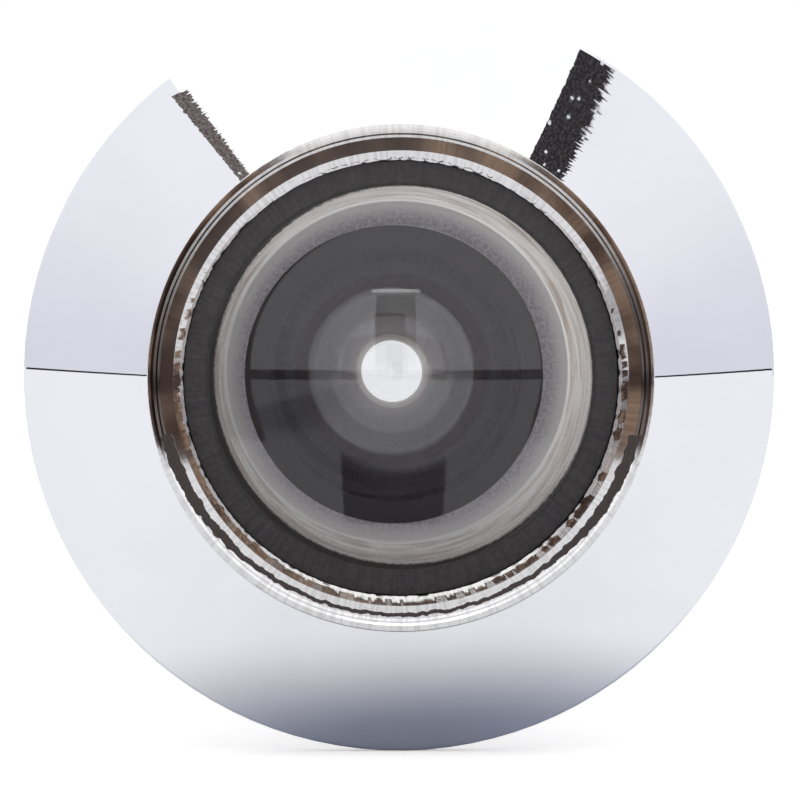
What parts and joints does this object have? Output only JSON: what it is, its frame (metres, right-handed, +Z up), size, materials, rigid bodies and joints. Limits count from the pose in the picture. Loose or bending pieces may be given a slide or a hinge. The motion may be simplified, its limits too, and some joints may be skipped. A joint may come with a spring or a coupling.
{
  "type": "door peephole",
  "caption": "Wide-angle door peephole: cone-shaped chromed outer flange with domed glass in a raised bezel, threaded tube, and an inner sleeve with eye lens that screws on to clamp the door.",
  "frame": {"origin": "centre of the outer flange's back face, which lies on the door's outer face", "axes": "+Y along the viewing axis into the door, +Z up; the pictured outer end faces -Y"},
  "size_m": [0.022, 0.0515, 0.022],
  "materials": {
    "chrome_flange": "chrome plated",
    "polished_bezel": "chrome plated, polished",
    "black_gasket": "satin",
    "objective_glass": "polished, ground rear ring",
    "black_spacer": "black anodised",
    "second_glass": "polished",
    "black_stop": "black anodised",
    "dark_baffle": "matt",
    "washer_rubber": "matt",
    "chrome_inner": "chrome plated",
    "eye_seat_rubber": "matt",
    "eye_glass": "polished",
    "black_eye_ring": "black anodised"
  },
  "bodies": {
    "outer_half": {"outer_barrel": "chrome_flange", "bezel_ring": "polished_bezel", "front_gasket": "black_gasket", "objective_lens": "objective_glass", "spacer_ring": "black_spacer", "second_lens": "second_glass", "stop_ring": "black_stop", "baffle_tube": "dark_baffle"},
    "washer": {"inner_washer": "washer_rubber"},
    "inner_half": {"inner_barrel": "chrome_inner", "eye_seat_ring": "eye_seat_rubber", "eye_lens": "eye_glass", "eye_retaining_ring": "black_eye_ring"}
  },
  "joints": [
    {"name": "clamp_slide", "type": "slide", "parent": "outer_half", "child": "washer", "axis": [0, 1, 0], "range_m": [-0.009, 0.011]},
    {"name": "inner_half_turn", "type": "hinge", "parent": "washer", "child": "inner_half", "pos_m": [0, 0.044, 0], "axis": [0, 1, 0], "range_deg": [-3240.5, 3960.5]}
  ],
  "couplings": [
    {"joint": "inner_half_turn", "follows": "clamp_slide", "rad_per_m": 6283.2}
  ]
}
